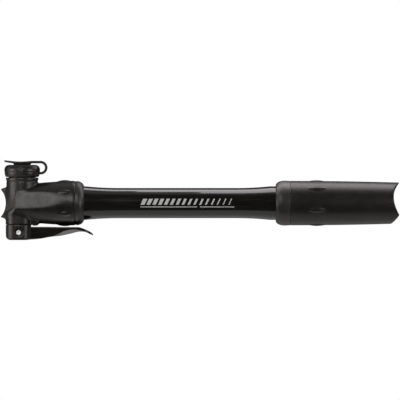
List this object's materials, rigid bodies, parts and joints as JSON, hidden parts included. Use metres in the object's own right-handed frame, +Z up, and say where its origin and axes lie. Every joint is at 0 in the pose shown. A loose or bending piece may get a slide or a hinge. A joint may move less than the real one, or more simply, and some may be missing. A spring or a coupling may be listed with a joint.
{
  "type": "mini pump",
  "caption": "Slim hand pump for bicycle tyres: T-shaped head with a thumb lock lever, threaded valve collar and tethered dust cap, butted barrel, and a sliding palm handle.",
  "frame": {"origin": "centre of the footprint on the surface that the pump lies on, flat on its side", "axes": "+X along the barrel from the head's palm end to the handle's palm end, +Y the way the valve mouth faces, +Z up out of the surface, across the pump"},
  "size_m": [0.218, 0.0436, 0.0246],
  "materials": {
    "grip_rubber": "satin",
    "black_plastic": "satin",
    "gloss_barrel": "gloss",
    "soft_rubber": "matte",
    "bare_aluminium": "satin",
    "bright_steel": "polished",
    "white_nylon": "satin"
  },
  "bodies": {
    "head": {"head_core": "black_plastic", "head_jacket": "grip_rubber", "head_collar": "grip_rubber", "barrel": "gloss_barrel", "barrel_seal": "soft_rubber", "check_valve_seat": "white_nylon", "check_valve_flap": "soft_rubber", "barrel_end_cap": "black_plastic", "rod_bush": "white_nylon", "lever_pin": "bright_steel", "valve_gasket": "soft_rubber", "gasket_washer": "white_nylon"},
    "lever": {"thumb_lever": "black_plastic"},
    "plunger": {"lock_plunger": "white_nylon", "plunger_seal": "soft_rubber", "depressor_pin": "bright_steel"},
    "strap_anchor": {"strap_ring": "soft_rubber", "cap_strap": "soft_rubber"},
    "nut": {"collar_nut": "black_plastic"},
    "cap": {"dust_cap": "soft_rubber"},
    "rod": {"piston_rod": "bare_aluminium", "piston_body": "white_nylon", "piston_ring": "soft_rubber", "piston_screw": "bright_steel", "bump_stop": "soft_rubber", "handle_screw": "bright_steel", "handle_washer": "bright_steel"},
    "handle": {"handle_core": "black_plastic", "handle_grip": "grip_rubber", "handle_collar": "grip_rubber"}
  },
  "joints": [
    {"name": "handle_stroke", "type": "slide", "parent": "head", "child": "rod", "axis": [1, 0, 0], "range_m": [0, 0.137]},
    {"name": "handle_swivel", "type": "hinge", "parent": "rod", "child": "handle", "pos_m": [0.091, -0.00165, 0.0123], "axis": [1, 0, 0], "continuous": true},
    {"name": "lever_lock", "type": "hinge", "parent": "head", "child": "lever", "pos_m": [-0.09904, -0.01779, 0.0123], "axis": [0, 0, -1], "range_deg": [0, 90]},
    {"name": "gasket_squeeze", "type": "slide", "parent": "head", "child": "plunger", "axis": [0, 1, 0], "range_m": [0, 0.0016], "deforming": ["valve_gasket"]},
    {"name": "nut_travel", "type": "slide", "parent": "head", "child": "strap_anchor", "axis": [0, 1, 0], "range_m": [0, 0.003]},
    {"name": "nut_turn", "type": "hinge", "parent": "strap_anchor", "child": "nut", "pos_m": [-0.0973, 0.01435, 0.0123], "axis": [0, 1, 0], "range_deg": [0, 1081]},
    {"name": "cap_swing", "type": "hinge", "parent": "strap_anchor", "child": "cap", "pos_m": [-0.0848, 0.01775, 0.0123], "axis": [0, 0, -1], "range_deg": [0, 150], "deforming": ["cap_strap"]}
  ],
  "couplings": [
    {"joint": "gasket_squeeze", "follows": "lever_lock", "m_per_rad": 0.0010186},
    {"joint": "nut_turn", "follows": "nut_travel", "rad_per_m": 6283.2}
  ]
}
